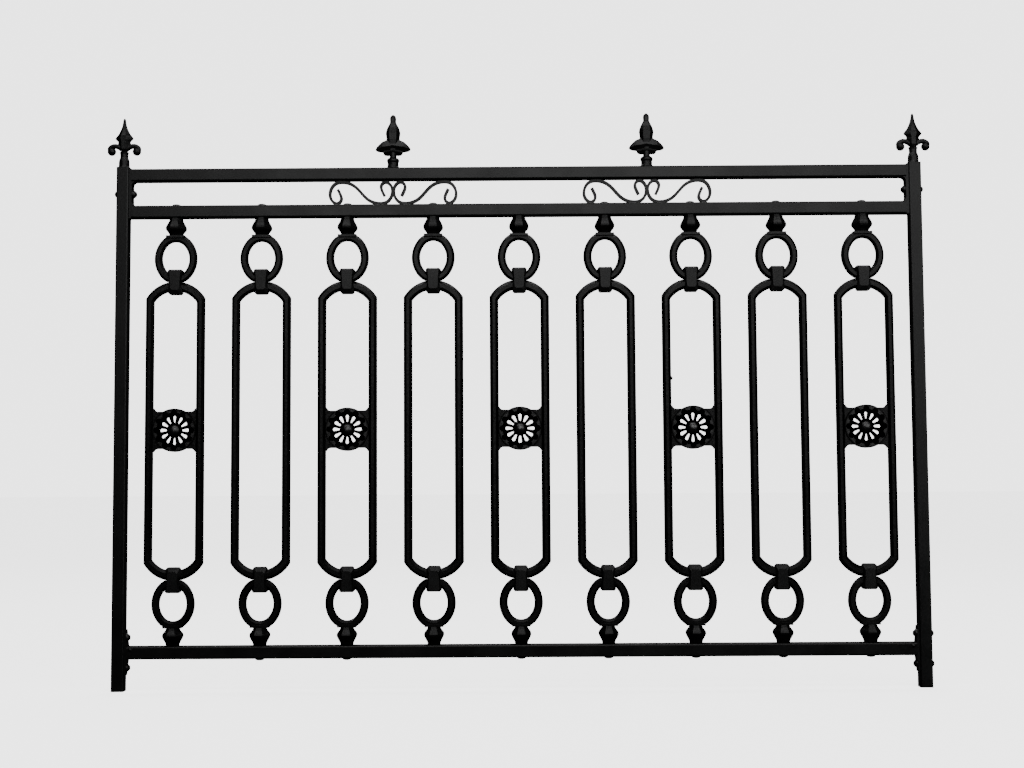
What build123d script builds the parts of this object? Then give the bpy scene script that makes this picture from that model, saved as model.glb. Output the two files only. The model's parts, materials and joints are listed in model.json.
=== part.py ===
from build123d import *
import os
from math import cos, pi, sin, sqrt

os.makedirs("parts", exist_ok=True)

# Driving dimensions, in millimetres

# Posts and rails are square tube
tube_width = 31.5
tube_corner = 4
tube_wall = 2
post_spacing = 1986
post_head = 2.25
foot_plate = 4

# Rail centres above the post foot, and the space for scrolls under the top rail
bottom_rail_height = 94
upper_rail_height = 1189
scroll_gap = 61.5

# Balusters stand between the bottom rail and the upper rail
baluster_count = 9
baluster_pitch = 215

# Long rounded frame in the middle of each baluster
frame_width = 149
frame_bar = 22
frame_end_bar = 25
frame_depth = 18
frame_bevel = 7.5
frame_end_radius = 86
frame_end_flat = 2.5

# Oval ring above and below each frame, flat where it meets its knob and its frame
ring_width = 108
ring_height = 117
ring_end_radius = 49
ring_end_flat = 4.5
ring_bar = 21
ring_depth = 16
ring_bevel = 6.5
ring_gap = 0.4

# Pad on top of a ring, under its knob
pad_width = 46
pad_depth = 30
pad_height = 6

# Eight-sided knob between a ring and its rail
knob_height = 44
knob_sides = 8
knob_radius = 24.5
knob_rail_radius = 15
knob_ring_radius = 15
knob_widest = 26

# Clamp collar over the joint of ring and frame
collar_height = 63
collar_width = 38
collar_waist = 30
collar_end_width = 34
collar_depth = 31
collar_bevel = 5.5
collar_chin = 11
collar_corner = 4
collar_clearance = 0.3

# Rosette casting in every second frame
rosette_lap = 1.5
rosette_web_step = 7.5
rosette_web_fillet = 10
rosette_plate_depth = 10
rosette_rim_depth = 17
rosette_scallop = 2.8
rosette_petals = 12
petal_start = 18.5
petal_margin = 18
petal_width = 8.2
petal_tip_width = 4.4
dimple_margin = 10.5
dimple_radius = 4.8
dimple_depth = 3
boss_radius = 15
boss_height = 8

# Scroll pairs between the two upper rails
scroll_length = 160
scroll_strip = 7
scroll_depth = 12
scroll_clearance = 0.4
scroll_pairs_apart = 3
left_pair_shift = 7

# Brackets between rails and posts
bracket_thick = 7
bracket_width = 25
lower_bracket_height = 112
lower_bracket_tip = 2.5
upper_bracket_fillet = 10

# Spear finials with curled arms, on the posts
post_finial_height = 129
post_finial_cap = 3
post_finial_plug = 18
post_finial_play = 0.5
socket_radius = 13.5
socket_top_radius = 13
shoulder_radius = 11.5
neck_radius = 10
spear_width = 46
spear_depth = 21
spear_start = 46
arm_span = 84
arm_height = 57
arm_thick = 12.5
arm_ball = 10.5

# Leafy finials on the top rail
rail_finial_height = 136
cup_radius = 15.5
cup_height = 24
bud_width = 37
bud_depth = 26
bud_start = 36
leaf_span = 88
leaf_depth = 21

# Worked out from the driving dimensions
half_tube = tube_width / 2
top_rail_height = upper_rail_height + tube_width + scroll_gap
post_height = top_rail_height + half_tube + post_head
panel_centre = post_spacing / 2
rail_start = half_tube + bracket_thick
rail_end = post_spacing - half_tube - bracket_thick
bottom_face = bottom_rail_height + half_tube
upper_face = upper_rail_height - half_tube
middle_height = (bottom_face + upper_face) / 2
ring_rise = upper_face - middle_height - knob_height - ring_height / 2
frame_reach = ring_rise - ring_height / 2 - ring_gap
joint_rise = frame_reach + ring_gap / 2
rosette_radius = frame_width / 2 - frame_bar + rosette_lap
rosette_web = 2 * (rosette_radius - rosette_web_step)
petal_length = rosette_radius - petal_margin - petal_start
dimple_circle = rosette_radius - dimple_margin
scroll_rise = (scroll_gap - scroll_strip) / 2 - scroll_clearance
scroll_middle = (top_rail_height + upper_rail_height) / 2
top_face = top_rail_height + half_tube


def baluster_x(number):
    return panel_centre + (number - (baluster_count + 1) / 2) * baluster_pitch


def write(name, shape):
    export_step(shape, "parts/" + name + ".step")


# Square tube
def tube_section():
    outside = RectangleRounded(tube_width, tube_width, tube_corner)
    bore = tube_width - 2 * tube_wall
    return outside - RectangleRounded(bore, bore, tube_corner - tube_wall)


def post(x):
    tube = extrude(tube_section(), post_height)
    foot = extrude(RectangleRounded(tube_width, tube_width, tube_corner), foot_plate)
    return Pos(x, 0, 0) * (tube + foot)


def rail(height):
    tube = extrude(Plane.YZ * tube_section(), rail_end - rail_start)
    return Pos(rail_start, 0, height) * tube


# Long frame, a bar with bevels that run round both sides of it
def frame_outline(inset, grow=0, hole=False):
    half_width = frame_width / 2 - inset + grow
    radius = frame_end_radius - inset + grow
    crown = frame_reach + frame_end_flat - inset + grow
    if hole:
        crown -= frame_end_bar - frame_bar
    shoulder = crown - radius + sqrt(radius**2 - half_width**2)
    side = Line((half_width, -shoulder), (half_width, shoulder))
    top = ThreePointArc((half_width, shoulder), (0, crown), (-half_width, shoulder))
    other = Line((-half_width, shoulder), (-half_width, -shoulder))
    end = ThreePointArc((-half_width, -shoulder), (0, -crown), (half_width, -shoulder))
    return make_face(side + top + other + end)


def ring_outline(inset, grow=0, hole=False):
    across = ring_width / 2
    centre = ring_height / 2 + ring_end_flat - ring_end_radius
    side_radius = (across**2 + centre**2 - ring_end_radius**2) / (2 * (across - ring_end_radius))
    lean = centre / (side_radius - ring_end_radius)
    end = ring_end_radius - inset + grow
    x = end * sqrt(1 - lean**2)
    y = centre + end * lean
    side = across - inset + grow
    top = centre + end
    right = ThreePointArc((x, -y), (side, 0), (x, y))
    upper = ThreePointArc((x, y), (0, top), (-x, y))
    left = ThreePointArc((-x, y), (-side, 0), (-x, -y))
    lower = ThreePointArc((-x, -y), (0, -top), (x, -y))
    return make_face(right + upper + left + lower)


def bevelled_half(outline, bar, bevel, depth, grow):
    level = depth / 2 + grow
    outside = loft([outline(0, grow), Pos(0, 0, level) * outline(bevel, grow)], ruled=True)
    inner_wide = outline(bar, -grow, hole=True)
    inner_narrow = outline(bar - bevel, -grow, hole=True)
    hole = loft([inner_wide, Pos(0, 0, level) * inner_narrow], ruled=True)
    return outside - hole


def bevelled_bar(outline, bar, bevel, depth, grow=0):
    front = bevelled_half(outline, bar, bevel, depth, grow)
    return front + mirror(front, about=Plane.XY)


def frame_bar_solid(grow=0):
    bar = bevelled_bar(frame_outline, frame_bar, frame_bevel, frame_depth, grow)
    return bar & Box(2 * frame_width, 2 * (frame_reach + grow), 2 * frame_depth)


def ring_bar_solid(grow=0):
    bar = bevelled_bar(ring_outline, ring_bar, ring_bevel, ring_depth, grow)
    return bar & Box(2 * ring_width, ring_height + 2 * grow, 2 * ring_depth)


# Rosette, drawn flat and then pierced
def petal():
    root = Pos(petal_start + petal_tip_width / 2, 0) * Circle(petal_tip_width / 2)
    tip = Pos(petal_start + petal_length - petal_width / 2, 0) * Circle(petal_width / 2)
    return make_hull(root.edges() + tip.edges())


def rosette():
    disc = Circle(rosette_radius)
    inside = frame_width - 2 * frame_bar
    web = Rectangle(inside, rosette_web)
    bars = Pos(inside / 2, 0) * Rectangle(2, 3 * rosette_radius)
    bars += Pos(-inside / 2, 0) * Rectangle(2, 3 * rosette_radius)
    corners = (web + bars).vertices().filter_by(
        lambda v: abs(abs(v.Y) - rosette_web / 2) < 0.01
    )
    plate = fillet(corners, rosette_web_fillet) & Rectangle(2 * inside, 2 * rosette_radius)
    plate = plate + disc
    body = extrude(plate, rosette_plate_depth / 2, both=True)
    spots = PolarLocations(dimple_circle, rosette_petals)
    scallop = Circle(dimple_radius + rosette_scallop)
    rim = Circle(rosette_radius) - Circle(dimple_circle) - [spot * scallop for spot in spots]
    body += extrude(rim, rosette_rim_depth / 2, both=True)
    slot = extrude(petal(), rosette_rim_depth, both=True)
    body -= [turn * slot for turn in PolarLocations(0, rosette_petals)]
    floor = rosette_plate_depth / 2 - dimple_depth
    dimple = Pos(0, 0, floor) * extrude(Circle(dimple_radius), rosette_rim_depth)
    dimple += mirror(dimple, about=Plane.XY)
    body -= [spot * dimple for spot in spots]
    boss = boss_cap()
    body += Pos(0, 0, rosette_plate_depth / 2) * boss
    body += Pos(0, 0, -rosette_plate_depth / 2) * mirror(boss, about=Plane.XY)
    return body


def boss_cap():
    ball = (boss_radius**2 + boss_height**2) / (2 * boss_height)
    arc = ThreePointArc(
        (boss_radius, 0),
        (boss_radius / 2, boss_height - ball + sqrt(ball**2 - boss_radius**2 / 4)),
        (0, boss_height),
    )
    profile = make_face(arc + Line((0, boss_height), (0, 0)) + Line((0, 0), (boss_radius, 0)))
    return revolve(Plane.XZ * profile, Axis.Z)


def plain_frame():
    return Plane.XZ * frame_bar_solid()


def rosette_frame():
    return Plane.XZ * (frame_bar_solid() + rosette())


# Ring with its knob, one casting, drawn round the middle of the ring
def stacked(levels):
    sections = [Pos(0, 0, height) * section for height, section in levels]
    return loft(sections, ruled=True)


def eight_sided(radius):
    across = radius / cos(pi / knob_sides)
    return RegularPolygon(across, knob_sides, rotation=180 / knob_sides)


def knob():
    rise = knob_height / 44
    levels = [
        (-knob_height - pad_height / 2, knob_ring_radius),
        (-knob_height, knob_ring_radius),
        (-38 * rise, knob_ring_radius + 2.5),
        (-30 * rise, knob_radius - 1),
        (-knob_widest * rise, knob_radius),
        (-22 * rise, knob_radius - 0.5),
        (-16 * rise, (knob_rail_radius + knob_radius) / 2 + 1.5),
        (-8 * rise, knob_rail_radius + 2),
        (0, knob_rail_radius),
    ]
    return stacked([(height, eight_sided(radius)) for height, radius in levels])


def ring_casting():
    ring = Plane.XZ * ring_bar_solid()
    ring += Pos(0, 0, (ring_height - pad_height) / 2) * Box(pad_width, pad_depth, pad_height)
    return ring + Pos(0, 0, ring_height / 2 + knob_height) * knob()


# Clamp collar, hollowed for the two bars that it holds together
def collar_body():
    half = stacked([
        (0, collar_section(0)),
        (collar_depth / 2 - collar_bevel, collar_section(0)),
        (collar_depth / 2, collar_section(collar_bevel)),
    ])
    return half + mirror(half, about=Plane.XY)


def collar_section(inset):
    half = collar_height / 2
    top = half - inset / 2
    low = half - inset * collar_chin / collar_bevel
    wide = collar_width / 2 - inset
    waist = collar_waist / 2 - inset / 2
    end = collar_end_width / 2 - inset
    cut = collar_corner
    right = [
        (wide - cut, top),
        (wide, top - cut),
        (waist, cut),
        (waist, -cut),
        (end, -half / 2),
        (end, cut - low),
        (end - cut, -low),
    ]
    left = [(-x, y) for x, y in reversed(right)]
    return make_face(Polyline(right + left, close=True))


def upper_collar_shape():
    collar = collar_body()
    collar -= Pos(0, ring_rise - joint_rise) * ring_bar_solid(collar_clearance)
    collar -= Pos(0, -joint_rise) * frame_bar_solid(collar_clearance)
    return Plane.XZ * collar


def collars(upper):
    shape = upper_collar_shape()
    if not upper:
        shape = mirror(shape, about=Plane.XY)
    rise = joint_rise if upper else -joint_rise
    spots = [
        Pos(baluster_x(number), 0, middle_height + rise)
        for number in range(1, baluster_count + 1)
    ]
    return Compound(children=[spot * shape for spot in spots])


# Scroll work, a flat strip bent to an S and its mirror image
def scroll_points():
    across = scroll_length / 2 - scroll_strip / 4
    bend = [
        (0.23, 0.66),
        (0.54, 1.0),
        (0.83, 0.86),
        (1.0, 0.0),
        (0.93, -0.76),
        (0.77, -1.0),
        (0.65, -0.72),
        (0.68, -0.1),
        (0.75, 0.32),
    ]
    half = [(-across * u, scroll_rise * v) for u, v in bend]
    other = [(-x, -y) for x, y in half]
    return other[::-1] + [(0, 0)] + half


def pair_x(side):
    shift = left_pair_shift if side < 0 else 0
    return panel_centre + side * scroll_pairs_apart / 2 * baluster_pitch + shift


def scroll_pair(side):
    strip = trace(Spline(scroll_points()), scroll_strip)
    left = extrude(strip, scroll_depth / 2, both=True)
    left = Plane.XZ * (Pos(-scroll_length / 2, 0) * left)
    pair = left + mirror(left, about=Plane.YZ)
    return Pos(pair_x(side), 0, scroll_middle) * pair


# Brackets
def lower_bracket(sign):
    half = lower_bracket_height / 2
    profile = Polyline(
        (0, -half),
        (lower_bracket_tip, -half),
        (bracket_thick, -half_tube),
        (bracket_thick, half_tube),
        (lower_bracket_tip, half),
        (0, half),
        close=True,
    )
    plate = extrude(make_face(profile), bracket_width / 2, both=True)
    return place_bracket(Plane.XZ * plate, sign, bottom_rail_height)


def upper_bracket(sign):
    reach = (top_rail_height - upper_rail_height) / 2 + half_tube
    gap = scroll_gap / 2
    bend = upper_bracket_fillet
    plate = Pos(bracket_thick / 2, 0) * Rectangle(bracket_thick, 2 * reach)
    web = Pos(bracket_thick + bend / 2, 0) * Rectangle(bend, 2 * gap)
    web -= Pos(bracket_thick + bend, 0) * RectangleRounded(2 * bend, 2 * gap, bend * 0.999)
    shape = extrude(plate + web, bracket_width / 2, both=True)
    return place_bracket(Plane.XZ * shape, sign, scroll_middle)


def place_bracket(shape, sign, height):
    if sign > 0:
        return Pos(half_tube, 0, height) * shape
    return Pos(post_spacing - half_tube, 0, height) * mirror(shape, about=Plane.YZ)


# Finials, drawn from their seat up
def turned(points):
    return revolve(Plane.XZ * make_face(Polyline(points, close=True)), Axis.Z)


def flattened(half_width, half_depth):
    flat = half_width / 3
    points = [
        (half_width, 0),
        (flat, half_depth),
        (-flat, half_depth),
        (-half_width, 0),
        (-flat, -half_depth),
        (flat, -half_depth),
    ]
    return make_face(Polyline(points, close=True))


def spear():
    reach = post_finial_height - spear_start
    profile = [
        (0, 0.50),
        (0.05, 0.66),
        (0.20, 0.73),
        (0.265, 0.68),
        (0.30, 0.75),
        (0.345, 0.93),
        (0.375, 1.0),
        (0.405, 0.97),
        (0.465, 0.80),
        (0.525, 0.63),
        (0.645, 0.41),
        (0.76, 0.26),
        (0.88, 0.18),
        (0.96, 0.15),
        (1.0, 0.05),
    ]
    levels = []
    for up, wide in profile:
        half_depth = spear_depth / 2 * min(1, 0.3 + wide)
        if up > 0.45:
            half_depth = spear_depth / 2 * wide * 1.2
        levels.append((spear_start + up * reach, flattened(spear_width / 2 * wide, half_depth)))
    return stacked(levels)


def arm():
    out = arm_span / 2 - arm_thick / 2
    top = arm_height
    ball_x = arm_span / 2 - arm_ball
    ball_z = top - arm_thick
    rise = Spline(
        (0, top - 0.96 * arm_thick),
        (0.4 * out, top - 0.08 * arm_thick),
        (0.75 * out, top + 0.08 * arm_thick),
        (out, top - 0.4 * arm_thick),
        (ball_x + 0.16 * arm_thick, ball_z),
    )
    wire = Plane.XZ * Wire(rise.edges())
    bar = sweep(Plane(wire @ 0, z_dir=wire % 0) * Circle(arm_thick / 2), path=wire)
    return bar + Pos(ball_x, 0, ball_z) * Sphere(arm_ball)


def post_finial(x):
    unit = post_finial_height / 129
    cap = extrude(RectangleRounded(tube_width, tube_width, tube_corner), post_finial_cap)
    bore = tube_width - 2 * tube_wall - post_finial_play
    plug = RectangleRounded(bore, bore, tube_corner - tube_wall)
    plug = extrude(plug, -post_finial_plug)
    stem = turned([
        (0, 0),
        (half_tube - 1, post_finial_cap),
        (socket_radius, 7 * unit),
        (socket_top_radius, 20 * unit),
        (shoulder_radius, 25 * unit),
        (neck_radius, 29 * unit),
        (neck_radius, 37 * unit),
        (shoulder_radius, 42 * unit),
        (0, 50 * unit),
    ])
    right = arm()
    shape = cap + plug + stem + spear() + right + mirror(right, about=Plane.YZ)
    return Pos(x, 0, post_height) * shape


def ribbed(half_width, half_depth):
    points = []
    ribs = 6
    for step in range(2 * ribs):
        turn = pi * step / ribs
        share = 0.86 if step % 2 else 1
        points.append((half_width * share * cos(turn), half_depth * share * sin(turn)))
    return make_face(Polyline(points, close=True))


def bud():
    reach = rail_finial_height - bud_start
    profile = [
        (0, 0.45),
        (0.37, 0.92),
        (0.40, 0.90),
        (0.52, 1.0),
        (0.59, 0.94),
        (0.67, 0.79),
        (0.74, 0.59),
        (0.79, 0.45),
        (0.82, 0.41),
        (0.91, 0.43),
        (0.96, 0.36),
        (1.0, 0.15),
    ]
    levels = [
        (bud_start + up * reach, ribbed(bud_width / 2 * wide, bud_depth / 2 * wide))
        for up, wide in profile
    ]
    return stacked(levels)


def leaf(profile, span):
    sections = []
    for out, low, high, deep in profile:
        ridge = (low + high) / 2
        thick = leaf_depth / 2 * deep
        points = [(0, low), (thick, ridge), (0.3 * thick, high), (-0.3 * thick, high), (-thick, ridge)]
        face = make_face(Polyline(points, close=True))
        sections.append(Pos(span * out, 0, 0) * (Plane.YZ * face))
    return loft(sections, ruled=True)


def rail_finial(x):
    unit = rail_finial_height / 136
    half_span = leaf_span / 2
    cup = turned([
        (0, 0),
        (cup_radius, 0),
        (cup_radius, 2),
        (0.9 * cup_radius, 5),
        (0.88 * cup_radius, 0.55 * cup_height),
        (cup_radius, 0.72 * cup_height),
        (cup_radius, 0.88 * cup_height),
        (0.86 * cup_radius, cup_height),
        (0.56 * cup_radius, 1.1 * cup_height),
        (0.54 * cup_radius, bud_start * 1.1),
        (0, bud_start * 1.1),
    ])
    upper = leaf([
        (0, 36 * unit, 78 * unit, 1.0),
        (0.40, 37 * unit, 71 * unit, 0.95),
        (0.62, 40 * unit, 67 * unit, 0.8),
        (0.80, 41 * unit, 60 * unit, 0.6),
        (0.93, 43 * unit, 54 * unit, 0.4),
        (1.0, 46 * unit, 49 * unit, 0.15),
    ], half_span)
    lower = leaf([
        (0, 32 * unit, 50 * unit, 0.95),
        (0.30, 31 * unit, 49 * unit, 0.85),
        (0.46, 32 * unit, 47 * unit, 0.6),
        (0.55, 36 * unit, 46 * unit, 0.4),
    ], half_span)
    side = upper + lower
    shape = cup + bud() + side + mirror(side, about=Plane.YZ)
    return Pos(x, 0, top_face) * shape


write("left_post", post(0))
write("right_post", post(post_spacing))
write("top_rail", rail(top_rail_height))
write("upper_rail", rail(upper_rail_height))
write("bottom_rail", rail(bottom_rail_height))

plain = plain_frame()
pierced = rosette_frame()
ring = ring_casting()
turned_ring = mirror(ring, about=Plane.XY)
for number in range(1, baluster_count + 1):
    middle = Pos(baluster_x(number), 0, middle_height)
    if number % 2:
        write("rosette_frame_" + str(number), middle * pierced)
    else:
        write("plain_frame_" + str(number), middle * plain)
    write("upper_ring_" + str(number), middle * Pos(0, 0, ring_rise) * ring)
    write("lower_ring_" + str(number), middle * Pos(0, 0, -ring_rise) * turned_ring)

write("upper_collars", collars(True))
write("lower_collars", collars(False))
write("left_scroll_pair", scroll_pair(-1))
write("right_scroll_pair", scroll_pair(1))
write("left_lower_bracket", lower_bracket(1))
write("right_lower_bracket", lower_bracket(-1))
write("left_upper_bracket", upper_bracket(1))
write("right_upper_bracket", upper_bracket(-1))
write("left_post_finial", post_finial(0))
write("right_post_finial", post_finial(post_spacing))
write("left_rail_finial", rail_finial(pair_x(-1)))
write("right_rail_finial", rail_finial(pair_x(1)))
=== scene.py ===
# %% [markdown]
# # An ornamental iron fence panel
# The real panel is square steel tube with cast iron ornament between the rails, all painted
# satin black. The CAD frame already holds every tube, casting and bracket in its true place.
# This lesson adds what a painter and a fitter would: the paint, the bolts and the screws.

# %% Load the frame
import bpy
import bmesh
import json
from math import cos, pi, radians, sin
from mathutils import Matrix, Vector


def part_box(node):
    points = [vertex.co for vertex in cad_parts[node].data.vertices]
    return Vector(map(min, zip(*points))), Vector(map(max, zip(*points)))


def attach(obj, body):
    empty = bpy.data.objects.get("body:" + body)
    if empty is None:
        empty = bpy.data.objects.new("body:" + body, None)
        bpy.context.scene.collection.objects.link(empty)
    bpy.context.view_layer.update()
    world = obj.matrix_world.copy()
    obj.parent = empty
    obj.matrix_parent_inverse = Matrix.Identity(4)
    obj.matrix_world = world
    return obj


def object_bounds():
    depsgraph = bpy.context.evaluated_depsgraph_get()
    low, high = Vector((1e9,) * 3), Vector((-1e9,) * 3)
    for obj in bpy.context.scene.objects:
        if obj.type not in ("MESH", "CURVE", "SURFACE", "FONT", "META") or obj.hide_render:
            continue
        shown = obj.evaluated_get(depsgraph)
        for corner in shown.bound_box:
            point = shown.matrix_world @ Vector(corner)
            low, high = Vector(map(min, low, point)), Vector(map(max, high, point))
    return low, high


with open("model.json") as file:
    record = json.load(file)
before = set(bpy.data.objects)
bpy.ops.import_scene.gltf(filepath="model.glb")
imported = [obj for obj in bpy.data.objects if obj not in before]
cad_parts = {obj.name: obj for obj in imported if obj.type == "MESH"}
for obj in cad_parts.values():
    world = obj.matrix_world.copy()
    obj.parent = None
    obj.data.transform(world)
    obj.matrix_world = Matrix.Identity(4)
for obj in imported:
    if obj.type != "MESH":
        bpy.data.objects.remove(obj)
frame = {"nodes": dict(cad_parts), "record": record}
cad_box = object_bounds()
nodes = frame["nodes"]
MM = 0.001
print("nodes loaded:", len(nodes))

# %% [markdown]
# ## Sizes from the frame
# Fittings have to follow the panel if it is rebuilt at another size, so no place is typed twice.
# The balusters repeat at one spacing, so the middle of each upper ring gives every column.

# %% Read the places of tubes and castings
post_low, post_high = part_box("left_post")
far_low, far_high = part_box("right_post")
top_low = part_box("top_rail")[0]
upper_low, upper_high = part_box("upper_rail")
bottom_low, bottom_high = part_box("bottom_rail")
centre_x = (post_low[0] + far_high[0]) / 2
ring_names = sorted(name for name in nodes if name.startswith("upper_ring_"))
baluster_x = [sum(corner[0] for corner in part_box(name)) / 2 for name in ring_names]
pitch = baluster_x[1] - baluster_x[0]
print("balusters at", [round(x, 3) for x in baluster_x])

# %% [markdown]
# ## Black paint
# Satin black looks plain, but no two pieces take it alike. Tube is smooth with a faint orange
# peel, castings keep the sand's grain under the paint, and hands and rain dull it unevenly.
# Each effect is a node group that is built once, so every paint below can share it.

# %% A helper for small node groups
def node_group(name, inputs, outputs):
    group = bpy.data.node_groups.new(name, "ShaderNodeTree")
    for label, kind, value in inputs:
        socket = group.interface.new_socket(label, in_out="INPUT", socket_type=kind)
        if value is not None:
            socket.default_value = value
    for label, kind in outputs:
        group.interface.new_socket(label, in_out="OUTPUT", socket_type=kind)
    start = group.nodes.new("NodeGroupInput")
    end = group.nodes.new("NodeGroupOutput")
    return group, start, end


# %% [markdown]
# ### Skin
# The skin group turns object coordinates into a small height: broad waves for orange peel and
# finer noise for sand grain. Real relief this fine would need millions of faces, so the height
# leaves the group and feeds a Bump node instead.

# %% Build the skin group
skin, start, end = node_group(
    "paint skin",
    [
        ("Vector", "NodeSocketVector", None),
        ("Grain size", "NodeSocketFloat", 400.0),
        ("Grain", "NodeSocketFloat", 0.5),
    ],
    [("Height", "NodeSocketFloat")],
)
waves = skin.nodes.new("ShaderNodeTexNoise")
waves.inputs["Scale"].default_value = 120.0
waves.inputs["Detail"].default_value = 2.0
grain = skin.nodes.new("ShaderNodeTexNoise")
grain.inputs["Detail"].default_value = 4.0
grain.inputs["Roughness"].default_value = 0.65
weigh = skin.nodes.new("ShaderNodeMath")
weigh.operation = "MULTIPLY"
total = skin.nodes.new("ShaderNodeMath")
total.operation = "ADD"
skin.links.new(start.outputs["Vector"], waves.inputs["Vector"])
skin.links.new(start.outputs["Vector"], grain.inputs["Vector"])
skin.links.new(start.outputs["Grain size"], grain.inputs["Scale"])
skin.links.new(grain.outputs["Fac"], weigh.inputs[0])
skin.links.new(start.outputs["Grain"], weigh.inputs[1])
skin.links.new(waves.outputs["Fac"], total.inputs[0])
skin.links.new(weigh.outputs[0], total.inputs[1])
skin.links.new(total.outputs[0], end.inputs["Height"])
print("group", skin.name, "has", len(skin.nodes), "nodes")

# %% [markdown]
# ### Dulling
# Rain and hands leave cloudy patches where the paint is a little paler and duller. The two go
# together on real paint, so one slow noise drives both the colour and the roughness.

# %% Build the dulling group
dulling, start, end = node_group(
    "paint dulling",
    [
        ("Vector", "NodeSocketVector", None),
        ("Patch size", "NodeSocketFloat", 9.0),
        ("Clean", "NodeSocketColor", (0.003, 0.003, 0.003, 1)),
        ("Dull", "NodeSocketColor", (0.008, 0.008, 0.008, 1)),
        ("Low roughness", "NodeSocketFloat", 0.35),
        ("High roughness", "NodeSocketFloat", 0.5),
    ],
    [("Color", "NodeSocketColor"), ("Roughness", "NodeSocketFloat")],
)
clouds = dulling.nodes.new("ShaderNodeTexNoise")
clouds.inputs["Detail"].default_value = 5.0
clouds.inputs["Roughness"].default_value = 0.6
spread = dulling.nodes.new("ShaderNodeMapRange")
spread.inputs["From Min"].default_value = 0.35
spread.inputs["From Max"].default_value = 0.7
tint = dulling.nodes.new("ShaderNodeMix")
tint.data_type = "RGBA"
rough = dulling.nodes.new("ShaderNodeMix")
rough.data_type = "FLOAT"
dulling.links.new(start.outputs["Vector"], clouds.inputs["Vector"])
dulling.links.new(start.outputs["Patch size"], clouds.inputs["Scale"])
dulling.links.new(clouds.outputs["Fac"], spread.inputs["Value"])
dulling.links.new(spread.outputs["Result"], tint.inputs["Factor"])
dulling.links.new(start.outputs["Clean"], tint.inputs["A"])
dulling.links.new(start.outputs["Dull"], tint.inputs["B"])
dulling.links.new(spread.outputs["Result"], rough.inputs["Factor"])
dulling.links.new(start.outputs["Low roughness"], rough.inputs["A"])
dulling.links.new(start.outputs["High roughness"], rough.inputs["B"])
dulling.links.new(tint.outputs["Result"], end.inputs["Color"])
dulling.links.new(rough.outputs["Result"], end.inputs["Roughness"])
print("group", dulling.name, "has", len(dulling.nodes), "nodes")

# %% [markdown]
# ### The recipe
# Every paint is the same recipe with its own grain, gloss and tint. `clean` and `dull` are the
# two greys of the patches, `low` and `high` their roughness, and `bump` is the depth of the
# relief in metres, so it shows only where a highlight runs over the surface.

# %% Paint recipe
blue_cast = 1.03


def paint(name, clean, dull, low, high, grain_size, grain, bump, specular):
    material = bpy.data.materials.new(name)
    material.use_nodes = True
    tree = material.node_tree
    shader = tree.nodes["Principled BSDF"]
    shader.inputs["Specular IOR Level"].default_value = specular
    place = tree.nodes.new("ShaderNodeTexCoord")
    skin_node = tree.nodes.new("ShaderNodeGroup")
    skin_node.node_tree = skin
    skin_node.inputs["Grain size"].default_value = grain_size
    skin_node.inputs["Grain"].default_value = grain
    dull_node = tree.nodes.new("ShaderNodeGroup")
    dull_node.node_tree = dulling
    dull_node.inputs["Clean"].default_value = (clean, clean, clean * blue_cast, 1)
    dull_node.inputs["Dull"].default_value = (dull, dull, dull * blue_cast, 1)
    dull_node.inputs["Low roughness"].default_value = low
    dull_node.inputs["High roughness"].default_value = high
    relief = tree.nodes.new("ShaderNodeBump")
    relief.inputs["Distance"].default_value = bump
    relief.inputs["Strength"].default_value = 1.0
    tree.links.new(place.outputs["Object"], skin_node.inputs["Vector"])
    tree.links.new(place.outputs["Object"], dull_node.inputs["Vector"])
    tree.links.new(skin_node.outputs["Height"], relief.inputs["Height"])
    tree.links.new(relief.outputs["Normal"], shader.inputs["Normal"])
    tree.links.new(dull_node.outputs["Color"], shader.inputs["Base Color"])
    tree.links.new(dull_node.outputs["Roughness"], shader.inputs["Roughness"])
    return material


# %% [markdown]
# ### The paints
# Tube and fasteners are the smoothest, and scrolls and brackets come next. Castings have the
# deepest grain and the darkest black. Finials stand highest and weather most, so they vary
# most in tint. The casting mix is kept by itself, because the rosettes start from it too.

# %% Mix the paints
casting_mix = {
    "clean": 0.001, "dull": 0.003, "low": 0.3, "high": 0.46,
    "grain_size": 450, "grain": 0.5, "bump": 0.4 * MM, "specular": 0.24,
}
paints = {
    "tube_paint": paint(
        "tube paint", clean=0.002, dull=0.004, low=0.34, high=0.46,
        grain_size=700, grain=0.1, bump=0.12 * MM, specular=0.3,
    ),
    "casting_paint": paint("casting paint", **casting_mix),
    "collar_paint": paint(
        "collar paint", clean=0.002, dull=0.005, low=0.36, high=0.5,
        grain_size=500, grain=0.4, bump=0.2 * MM, specular=0.3,
    ),
    "scroll_paint": paint(
        "scroll paint", clean=0.002, dull=0.004, low=0.36, high=0.5,
        grain_size=600, grain=0.3, bump=0.15 * MM, specular=0.3,
    ),
    "bracket_paint": paint(
        "bracket paint", clean=0.002, dull=0.004, low=0.36, high=0.5,
        grain_size=600, grain=0.2, bump=0.15 * MM, specular=0.3,
    ),
    "finial_paint": paint(
        "finial paint", clean=0.0015, dull=0.005, low=0.32, high=0.46,
        grain_size=450, grain=0.5, bump=0.3 * MM, specular=0.28,
    ),
    "fastener_paint": paint(
        "fastener paint", clean=0.002, dull=0.005, low=0.3, high=0.45,
        grain_size=700, grain=0.2, bump=0.1 * MM, specular=0.35,
    ),
}
print("mixed", len(paints), "paints")
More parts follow.
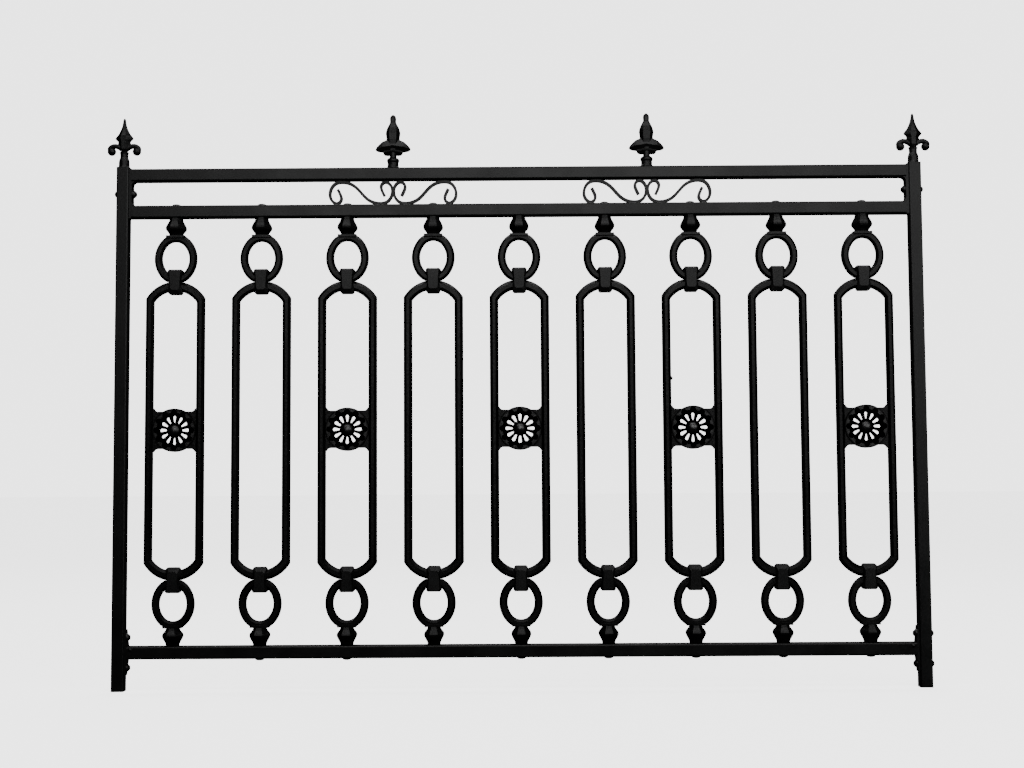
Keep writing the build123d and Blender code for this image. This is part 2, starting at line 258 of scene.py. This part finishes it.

# %% [markdown]
# ### Painted shade and highlights on the rosettes
# The rosettes' hollows and the rounded edge of each disc are painted darker as shade, and the rim
# and the boss are painted brighter as highlights. A mask of depth and of distance from the
# rosette's middle lowers the reflectance in the hollows and on the disc's edge, and raises it on
# the rim and the boss. On a metal the base colour is what it reflects, so this paint is mixed as a
# very dark metal, and the mask goes into its colour.

# %% Start the rosette paint
# This paint carries painted shade in the hollows and painted highlights on the rim and the boss.
rosette_shaded_paint = paint("rosette paint with painted shade and highlights", **casting_mix)
tree = rosette_shaded_paint.node_tree


def maths(operation, first, second=0.0, third=0.0):
    node = tree.nodes.new("ShaderNodeMath")
    node.operation = operation
    for socket, value in zip(node.inputs, (first, second, third)):
        if isinstance(value, float):
            socket.default_value = value
        else:
            tree.links.new(value, socket)
    return node.outputs[0]


def fade(value, start, end, low, high):
    node = tree.nodes.new("ShaderNodeMapRange")
    tree.links.new(value, node.inputs["Value"])
    for label, number in zip(("From Min", "From Max", "To Min", "To Max"), (start, end, low, high)):
        node.inputs[label].default_value = number
    return node.outputs["Result"]


# %% [markdown]
# Rosettes stand in every second frame, so one set of nodes can serve them all: the coordinate
# along the panel is wrapped at twice the baluster spacing, and each rosette then sees its own
# middle as zero. Depth is the same on the front and the back, so its sign is dropped.

# %% Measure from each rosette's middle
frame_low, frame_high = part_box("rosette_frame_1")
rosette_z = (frame_low[2] + frame_high[2]) / 2
spot = tree.nodes.new("ShaderNodeTexCoord")
axes = tree.nodes.new("ShaderNodeSeparateXYZ")
tree.links.new(spot.outputs["Object"], axes.inputs[0])
across = maths("WRAP", maths("SUBTRACT", axes.outputs["X"], baluster_x[0]), pitch, -pitch)
upward = maths("SUBTRACT", axes.outputs["Z"], rosette_z)
square_sum = maths("ADD", maths("MULTIPLY", across, across), maths("MULTIPLY", upward, upward))
distance = maths("SQRT", square_sum)
depth = maths("ABSOLUTE", axes.outputs["Y"])
print("rosette middle at", round(baluster_x[0], 3), round(rosette_z, 3))

# %% [markdown]
# A Map Range node turns a depth or a distance into a mask that fades over a millimetre or so,
# which looks like paint and not like a stencil. The hollows and the edge of the disc get painted
# shade, and the rim and the boss get a painted highlight. `mirror_share` is the share of the light
# that comes back from a surface whose mask is one when it is looked at straight.

# %% Paint shade into the hollows and the edge, and highlights on the rim and the boss
hollow_depth = (6.5 * MM, 7.8 * MM)
rim_depth = (7.8 * MM, 8.4 * MM)
boss_depth = (9.0 * MM, 12.5 * MM)
disc_end = (53.0 * MM, 54.5 * MM)
edge_start = (49.0 * MM, 52.5 * MM)
edge_end = (54.5 * MM, 55.0 * MM)
# The disc's rounded edge is painted darker as shade, up to this share.
painted_edge_shade_level = 0.85
plate_shine = 0.26
# The rim and the boss are painted brighter as highlights; the plate keeps its own reflectance.
painted_rim_highlight_level = 0.3
painted_boss_highlight_level = 0.7
mirror_share = 0.08

on_disc = fade(distance, *disc_end, 1.0, 0.0)
# Painted shade in the hollows and on the disc's edge.
painted_hollow_shade = maths("MULTIPLY", fade(depth, *hollow_depth, 1.0, 0.0), on_disc)
painted_edge_shade_rise = fade(distance, *edge_start, 0.0, painted_edge_shade_level)
painted_edge_shade = maths("MULTIPLY", painted_edge_shade_rise, fade(distance, *edge_end, 1.0, 0.0))
painted_shade = maths("MAXIMUM", painted_hollow_shade, painted_edge_shade)
# Painted highlights on the rim and the boss, over the plate's own reflectance.
painted_rim_highlight = maths("MULTIPLY", fade(depth, *rim_depth, 0.0, painted_rim_highlight_level), on_disc)
plate_shine_and_painted_boss_highlight = fade(depth, *boss_depth, plate_shine, painted_boss_highlight_level)
# The painted shade takes away from the reflectance, and the painted highlights add to it.
reflectance_with_painted_light = maths("MULTIPLY", maths("SUBTRACT", 1.0, painted_shade), maths("ADD", painted_rim_highlight, plate_shine_and_painted_boss_highlight))
shader = tree.nodes["Principled BSDF"]
shader.inputs["Metallic"].default_value = 1.0
# The reflectance, with its painted shade and highlights, goes into the base colour of this dark
# metal.
tree.links.new(maths("MULTIPLY", reflectance_with_painted_light, mirror_share), shader.inputs["Base Color"])
print("rosette paint with painted shade and highlights has", len(tree.nodes), "nodes")

# %% [markdown]
# ### Brush it on
# Each part in the record names the paint that it takes. Only the rosette frames swap theirs for
# the paint that puts painted shade in their hollows and painted highlights on their rim and boss.

# %% Paint the CAD
for part in frame["record"]["subparts"]:
    chosen = paints[part["material_slot"]]
    # The rosette frames take the paint with painted shade and painted highlights.
    if part["node"].startswith("rosette_frame"):
        chosen = rosette_shaded_paint
    coat = nodes[part["node"]].data.materials
    for index in range(len(coat)):
        coat[index] = chosen
    if not len(coat):
        coat.append(chosen)
print("painted", len(nodes), "nodes")

# %% [markdown]
# ## Turned fittings
# Bolt heads, nuts and screws are round, and a turned shape is quickest as a profile spun round
# its axis. One head is spun from a few points, and the others are copies of it moved into place
# inside one mesh, so a whole row of bolts is one object.

# %% Copy a shape into one finished piece
smooth_angle = radians(35)


def finish_piece(name, mesh, places, paint_name):
    whole = bmesh.new()
    part = bpy.data.meshes.new(name + "_part")
    mesh.to_mesh(part)
    mesh.free()
    for place in places:
        before = set(whole.verts)
        whole.from_mesh(part)
        bmesh.ops.transform(whole, matrix=place, verts=[v for v in whole.verts if v not in before])
    data = bpy.data.meshes.new(name)
    whole.to_mesh(data)
    whole.free()
    for face in data.polygons:
        face.use_smooth = True
    data.set_sharp_from_angle(angle=smooth_angle)
    piece = bpy.data.objects.new(name, data)
    bpy.context.collection.objects.link(piece)
    data.materials.append(paints[paint_name])
    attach(piece, "root")
    print(name, "faces", len(data.polygons))
    return piece


# %% [markdown]
# The profile is given as shares of a radius and a height, from the middle of the foot out and
# up to the middle of the top. Both ends lie on the axis, so the full spin closes the shape, and
# merging its doubles turns each end into a single point.

# %% Spin a profile into a solid
def spun(name, shares, radius, height, steps, places, paint_name):
    mesh = bmesh.new()
    points = [mesh.verts.new((out * radius, 0, up * height)) for out, up in shares]
    edges = [mesh.edges.new(pair) for pair in zip(points, points[1:])]
    bmesh.ops.spin(
        mesh, geom=points + edges, cent=(0, 0, 0), axis=(0, 0, 1), dvec=(0, 0, 0),
        angle=2 * pi, steps=steps, use_merge=True, use_duplicate=False,
    )
    bmesh.ops.remove_doubles(mesh, verts=mesh.verts, dist=1e-6)
    bmesh.ops.recalc_face_normals(mesh, faces=mesh.faces)
    return finish_piece(name, mesh, places, paint_name)


# %% [markdown]
# ## Tie bolts
# A long bolt holds each baluster to its rail, and its domed head shows on the rail's far side.
# Three of the heads don't show in the picture, so they are left out here too, with the balusters
# counted from zero at the left. The dome is a quarter circle, squashed to a low button on a
# short straight skirt.

# %% Domed heads on the rails
tie_radius = 11 * MM
tie_height = 5 * MM
skirt = 0.25
quarter = [a * pi / 12 for a in range(6)]
dome = [(cos(angle), skirt + (1 - skirt) * sin(angle)) for angle in quarter]
head = [(0, 0), (1, 0)] + dome + [(0, 1)]
hidden_above = (4,)
hidden_below = (0, 3)
shown_above = [x for index, x in enumerate(baluster_x) if index not in hidden_above]
shown_below = [x for index, x in enumerate(baluster_x) if index not in hidden_below]
turn_over = Matrix.Rotation(pi, 4, "X")
above = [Matrix.Translation((x, 0, upper_high[2])) for x in shown_above]
below = [Matrix.Translation((x, 0, bottom_low[2])) @ turn_over for x in shown_below]
spun("tie_bolts", head, tie_radius, tie_height, 24, above + below, "fastener_paint")

# %% [markdown]
# ## Bracket bolts
# Through-bolts clamp the bracket plates to the posts, and their acorn nuts show on the inner
# side. At the back of the bolts the round heads stand out, but the two low ones on the left post
# don't show in the picture. They are taken as sunk into the tube, and nothing is built there.

# %% Find the bolts
bracket_low, bracket_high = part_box("left_lower_bracket")
bolt_spread = 37 * MM
lower_plate = 2.5 * MM
upper_plate = upper_low[0] - post_high[0]
bracket_middle = (bracket_low[2] + bracket_high[2]) / 2
upper_bolt = (upper_high[2] + top_low[2]) / 2
bolt_heights = [bracket_middle - bolt_spread, bracket_middle + bolt_spread, upper_bolt]
plates = [lower_plate, lower_plate, upper_plate]
print("bolts at heights", [round(z, 3) for z in bolt_heights])

# %% [markdown]
# An acorn nut is a short cylinder with a rounded point, and a bolt head is a flatter button.
# Both are turned shapes lying on their side, so each place is a quarter turn and then a move.

# %% Nuts on the inner side and heads on the outer side
nut_radius = 10.5 * MM
nut_height = 11 * MM
nut = [(0, 0), (1, 0), (1, 0.2), (0.8, 0.55), (0.45, 0.88), (0, 1)]
cap_radius = 8 * MM
cap_height = 7 * MM
cap = [(0, 0), (1, 0), (0.95, 0.4), (0.7, 0.78), (0.35, 0.96), (0, 1)]
face_right = Matrix.Rotation(pi / 2, 4, "Y")
face_left = Matrix.Rotation(-pi / 2, 4, "Y")
inner = []
for plate, z in zip(plates, bolt_heights):
    inner.append(Matrix.Translation((post_high[0] + plate, 0, z)) @ face_right)
for plate, z in zip(plates, bolt_heights):
    inner.append(Matrix.Translation((far_low[0] - plate, 0, z)) @ face_left)
outer = [Matrix.Translation((far_high[0], 0, z)) @ face_right for z in bolt_heights]
outer.append(Matrix.Translation((post_low[0], 0, upper_bolt)) @ face_left)
spun("bracket_nuts", nut, nut_radius, nut_height, 20, inner, "fastener_paint")
spun("bracket_bolt_heads", cap, cap_radius, cap_height, 20, outer, "fastener_paint")

# %% [markdown]
# ## Set screws
# A small screw near each end of the bottom rail keeps it from sliding in its bracket. Its low
# head is the same kind of spun profile, turned to face the front.

# %% Set screws on the front of the bottom rail
screw_radius = 4.5 * MM
screw_height = 2.8 * MM
screw = [(0, 0), (1, 0), (1, 0.357), (0.711, 0.786), (0, 1)]
from_end = 9 * MM
above_middle = 8 * MM
face_front = Matrix.Rotation(pi / 2, 4, "X")
screw_z = (bottom_low[2] + bottom_high[2]) / 2 + above_middle
ends = [bottom_low[0] + from_end, bottom_high[0] - from_end]
screws = [Matrix.Translation((x, bottom_low[1], screw_z)) @ face_front for x in ends]
spun("set_screws", screw, screw_radius, screw_height, 20, screws, "fastener_paint")

# %% [markdown]
# ## Small flaws
# Sand castings and thick paint are never perfect. One frame has a burr on the inside of its
# bar, and a drop of paint has dried on the outside of the right post. Each is a ball squashed
# by three half sizes, with about half of it sunk into the bar.


# %% Set the burr and the paint drop
def squashed(place, half_sizes):
    return Matrix.Translation(place) @ Matrix.Diagonal((*half_sizes, 1))


burr_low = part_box("rosette_frame_7")[0]
inside_bar = 22.5 * MM
burr_place = (burr_low[0] + inside_bar, -2 * MM, burr_low[2] + 493 * MM)
burr_size = (3 * MM, 4 * MM, 4.5 * MM)
drop_place = (far_high[0], -3 * MM, post_low[2] + 542 * MM)
drop_size = (2.2 * MM, 4 * MM, 6 * MM)
ball = bmesh.new()
bmesh.ops.create_icosphere(ball, subdivisions=3, radius=1.0)
bmesh.ops.recalc_face_normals(ball, faces=ball.faces)
lumps = [squashed(burr_place, burr_size), squashed(drop_place, drop_size)]
finish_piece("paint_lumps", ball, lumps, "fastener_paint")

# %% [markdown]
# ## Floor
# Paint this dark is seen mostly by what it reflects. The floor therefore looks pale to the
# camera but sends the paint almost nothing, which keeps the undersides of the rails black. A
# Light Path node tells the camera's rays from all others.

# %% Lay the floor
floor_mesh = bmesh.new()
bmesh.ops.create_grid(floor_mesh, x_segments=1, y_segments=1, size=40)
bmesh.ops.translate(floor_mesh, verts=floor_mesh.verts, vec=(0, 0, cad_box[0][2]))
floor_data = bpy.data.meshes.new("floor")
floor_mesh.to_mesh(floor_data)
floor_mesh.free()
floor = bpy.data.objects.new("floor", floor_data)
bpy.context.collection.objects.link(floor)
floor_look = bpy.data.materials.new("pale floor")
floor_look.use_nodes = True
floor_tree = floor_look.node_tree
paper = floor_tree.nodes["Principled BSDF"]
paper.inputs["Base Color"].default_value = (0.9, 0.9, 0.9, 1)
paper.inputs["Roughness"].default_value = 0.9
paper.inputs["Specular IOR Level"].default_value = 0.0
paper.inputs["Emission Color"].default_value = (1, 1, 1, 1)
paper.inputs["Emission Strength"].default_value = 2.93
matt = floor_tree.nodes.new("ShaderNodeBsdfDiffuse")
matt.inputs["Color"].default_value = (0.03, 0.03, 0.03, 1)
eye = floor_tree.nodes.new("ShaderNodeLightPath")
either = floor_tree.nodes.new("ShaderNodeMixShader")
floor_tree.links.new(eye.outputs["Is Camera Ray"], either.inputs["Fac"])
floor_tree.links.new(matt.outputs[0], either.inputs[1])
floor_tree.links.new(paper.outputs[0], either.inputs[2])
floor_tree.links.new(either.outputs[0], floor_tree.nodes["Material Output"].inputs["Surface"])
floor_data.materials.append(floor_look)
print("floor at height", cad_box[0][2])

# %% [markdown]
# ## Lights
# Four broad soft lights give the front, the tops and the back a low even sheen. A broad lamp
# far away reflects as a wide pale patch, which suits satin paint better than a small hot one.


# %% Hang the lights
def soft_light(name, place, aim, size, power):
    data = bpy.data.lights.new(name, "AREA")
    data.shape = "RECTANGLE"
    data.size, data.size_y = size
    data.energy = power
    lamp = bpy.data.objects.new(name, data)
    lamp.location = place
    lamp.rotation_euler = (Vector(aim) - Vector(place)).to_track_quat("-Z", "Y").to_euler()
    bpy.context.collection.objects.link(lamp)
    return lamp


soft_light(
    "front light", place=(centre_x + 0.1, -3.4, 1.95), aim=(centre_x, 0, 0.8),
    size=(3.5, 1.3), power=40,
)
soft_light(
    "top light", place=(centre_x, -1.6, 3.6), aim=(centre_x, 0, 0.9),
    size=(4.5, 1.0), power=50,
)
soft_light(
    "back light", place=(centre_x, 2.6, 4.2), aim=(centre_x, 0, 0.8),
    size=(4.5, 1.4), power=90,
)
soft_light(
    "side light", place=(centre_x + 2.8, -2.6, 1.4), aim=(centre_x, 0, 0.7),
    size=(1.6, 2.0), power=25,
)
print("lights:", len(bpy.data.lights))

# %% [markdown]
# ## Room
# The room is brighter in front and above than behind, as when a white sheet hangs over the
# camera. The flat fronts then pick up a soft sheen that fades towards the ground and the left,
# and the sides of the bars stay black. The wall that the camera sees is plain and pale.

# %% Light the room
world = bpy.data.worlds.new("white studio")
bpy.context.scene.world = world
world.use_nodes = True
sky = world.node_tree
aim = sky.nodes.new("ShaderNodeTexCoord")
split = sky.nodes.new("ShaderNodeSeparateXYZ")
sky.links.new(aim.outputs["Generated"], split.inputs[0])


def ramp(axis, start, end, low, high):
    part = sky.nodes.new("ShaderNodeMapRange")
    part.inputs["From Min"].default_value = start
    part.inputs["From Max"].default_value = end
    part.inputs["To Min"].default_value = low
    part.inputs["To Max"].default_value = high
    sky.links.new(split.outputs[axis], part.inputs["Value"])
    return part.outputs["Result"]


def product(first, second):
    node = sky.nodes.new("ShaderNodeMath")
    node.operation = "MULTIPLY"
    sky.links.new(first, node.inputs[0])
    sky.links.new(second, node.inputs[1])
    return node.outputs[0]


ahead = ramp("Y", start=-0.3, end=-0.95, low=0.015, high=1.6)
above_us = ramp("Z", start=-0.15, end=0.15, low=0.1, high=1.0)
sideways = ramp("X", start=-0.35, end=0.05, low=0.45, high=1.0)
wall_strength = 3.2
room = sky.nodes["Background"]
sky.links.new(product(product(ahead, above_us), sideways), room.inputs["Strength"])
wall = sky.nodes.new("ShaderNodeBackground")
wall.inputs["Color"].default_value = (1, 1, 1, 1)
wall.inputs["Strength"].default_value = wall_strength
which = sky.nodes.new("ShaderNodeMixShader")
ray = sky.nodes.new("ShaderNodeLightPath")
sky.links.new(ray.outputs["Is Camera Ray"], which.inputs["Fac"])
sky.links.new(room.outputs[0], which.inputs[1])
sky.links.new(wall.outputs[0], which.inputs[2])
sky.links.new(which.outputs[0], sky.nodes["World Output"].inputs["Surface"])
print("room has", len(sky.nodes), "nodes")

# %% [markdown]
# ## Camera
# The camera stands where the photographer stood: a little left of the middle, 3.6 m away and
# half a metre up, with the lens tipped up a few degrees. These values come from a fit of points
# on the panel to the picture. The fit gives the lens in pixels, and the sensor's width turns
# that into millimetres.

# %% Place the camera
left_of_middle = 0.010
camera_distance = 3.600
camera_height = 0.521
yaw, pitch_up, roll = radians(-0.15), radians(3.67), radians(-0.34)
lens_pixels = 1447
picture_pixels = 1024
sensor = 36
stand = Vector((centre_x - left_of_middle, -camera_distance, cad_box[0][2] + camera_height))
forward = Vector((sin(yaw) * cos(pitch_up), cos(yaw) * cos(pitch_up), sin(pitch_up)))
level = Vector((cos(yaw), -sin(yaw), 0))
upright = level.cross(forward)
right = cos(roll) * level + sin(roll) * upright
up = cos(roll) * upright - sin(roll) * level
turn = Matrix((right, up, -forward)).transposed().to_4x4()
camera_data = bpy.data.cameras.new("camera")
camera_data.sensor_width = sensor
camera_data.lens = lens_pixels * sensor / picture_pixels
camera = bpy.data.objects.new("camera", camera_data)
camera.matrix_world = Matrix.Translation(stand) @ turn
bpy.context.collection.objects.link(camera)
bpy.context.scene.camera = camera
print("lens", round(camera_data.lens, 2), "mm")
